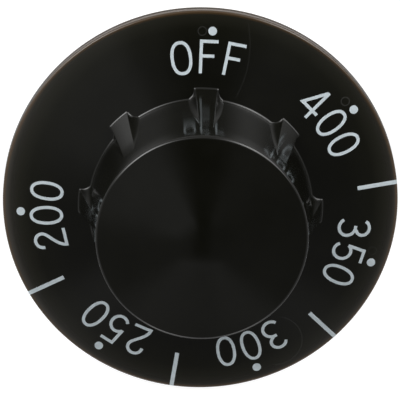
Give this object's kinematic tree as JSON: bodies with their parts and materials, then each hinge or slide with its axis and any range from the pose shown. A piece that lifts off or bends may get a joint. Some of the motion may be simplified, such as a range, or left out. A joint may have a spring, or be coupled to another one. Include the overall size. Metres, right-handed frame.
{
  "type": "oven control knob",
  "caption": "Round black oven control knob: sloped skirt printed with OFF and temperature numbers, ribbed grip with a shallow cone face, D-shaped shaft socket behind.",
  "frame": {"origin": "centre of the back, in the plane of the rim's flat ring", "axes": "+Z out of the panel along the shaft, +Y towards the OFF mark"},
  "size_m": [0.0572, 0.0572, 0.0211],
  "materials": {
    "black_moulding": "glossy black moulded plastic",
    "spring_steel": "bright rolled spring strip",
    "dial_ink": "thin white pad-printed ink"
  },
  "bodies": {
    "root": {"knob_body": "black_moulding", "shaft_spring": "spring_steel"}
  },
  "joints": []
}
